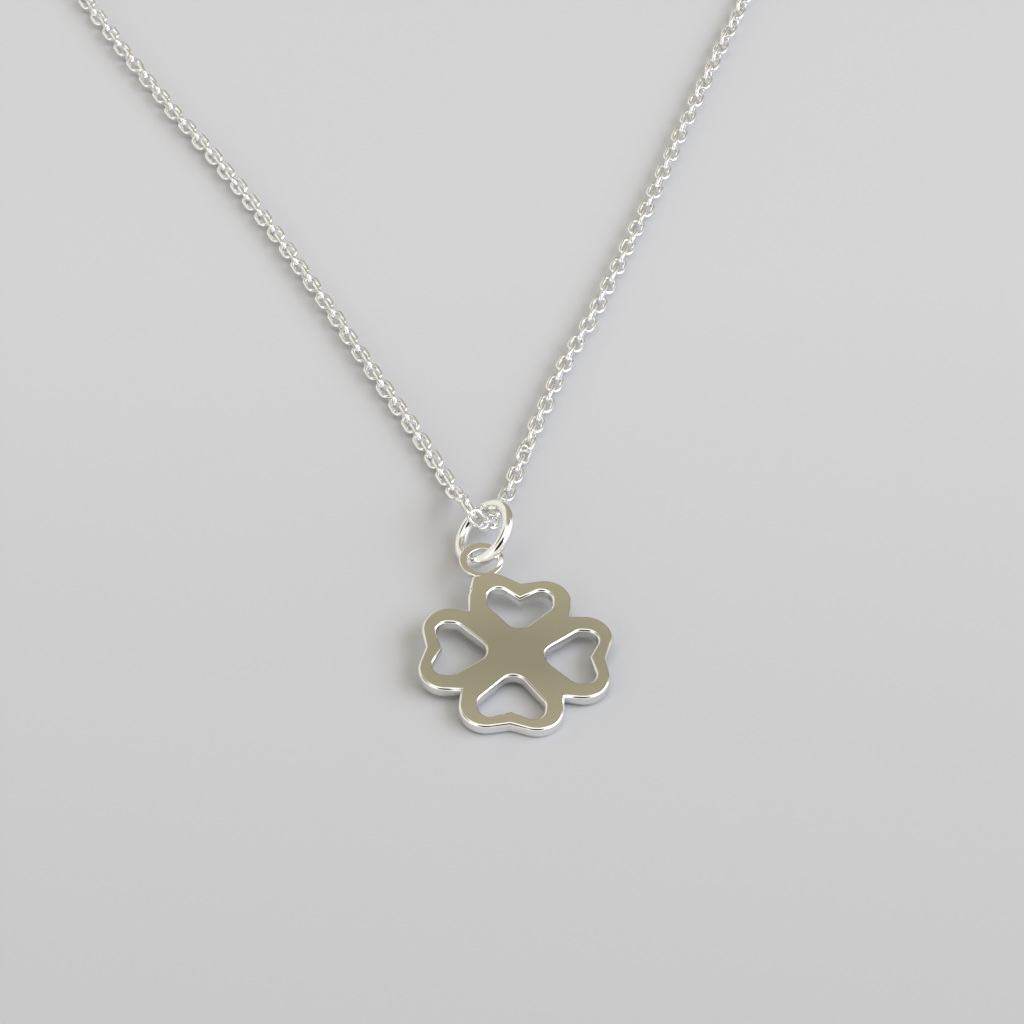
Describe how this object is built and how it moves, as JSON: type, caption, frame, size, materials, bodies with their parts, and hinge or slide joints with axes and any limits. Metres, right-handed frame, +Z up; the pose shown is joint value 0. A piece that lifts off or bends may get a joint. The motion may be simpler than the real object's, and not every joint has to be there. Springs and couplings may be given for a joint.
{
  "type": "clover necklace",
  "caption": "Fine chain necklace lying in a loop, with a flat clover pendant pierced by hearts, hung from a small soldered ring and a jump ring.",
  "frame": {"origin": "centre of the lying necklace's outer box, on the surface that it lies on", "axes": "+Z up from that surface, +Y from the pendant to the clasp at the back of the neck, +X to the right seen from above"},
  "size_m": [0.1044, 0.2036, 0.0045],
  "materials": {
    "polished_silver": "mirror-polished silver with rounded edges",
    "chain_silver": "bright silver wire links"
  },
  "bodies": {
    "root": {"clover": "polished_silver", "jump_ring": "polished_silver", "chain": "chain_silver", "clasp": "polished_silver"}
  },
  "joints": []
}
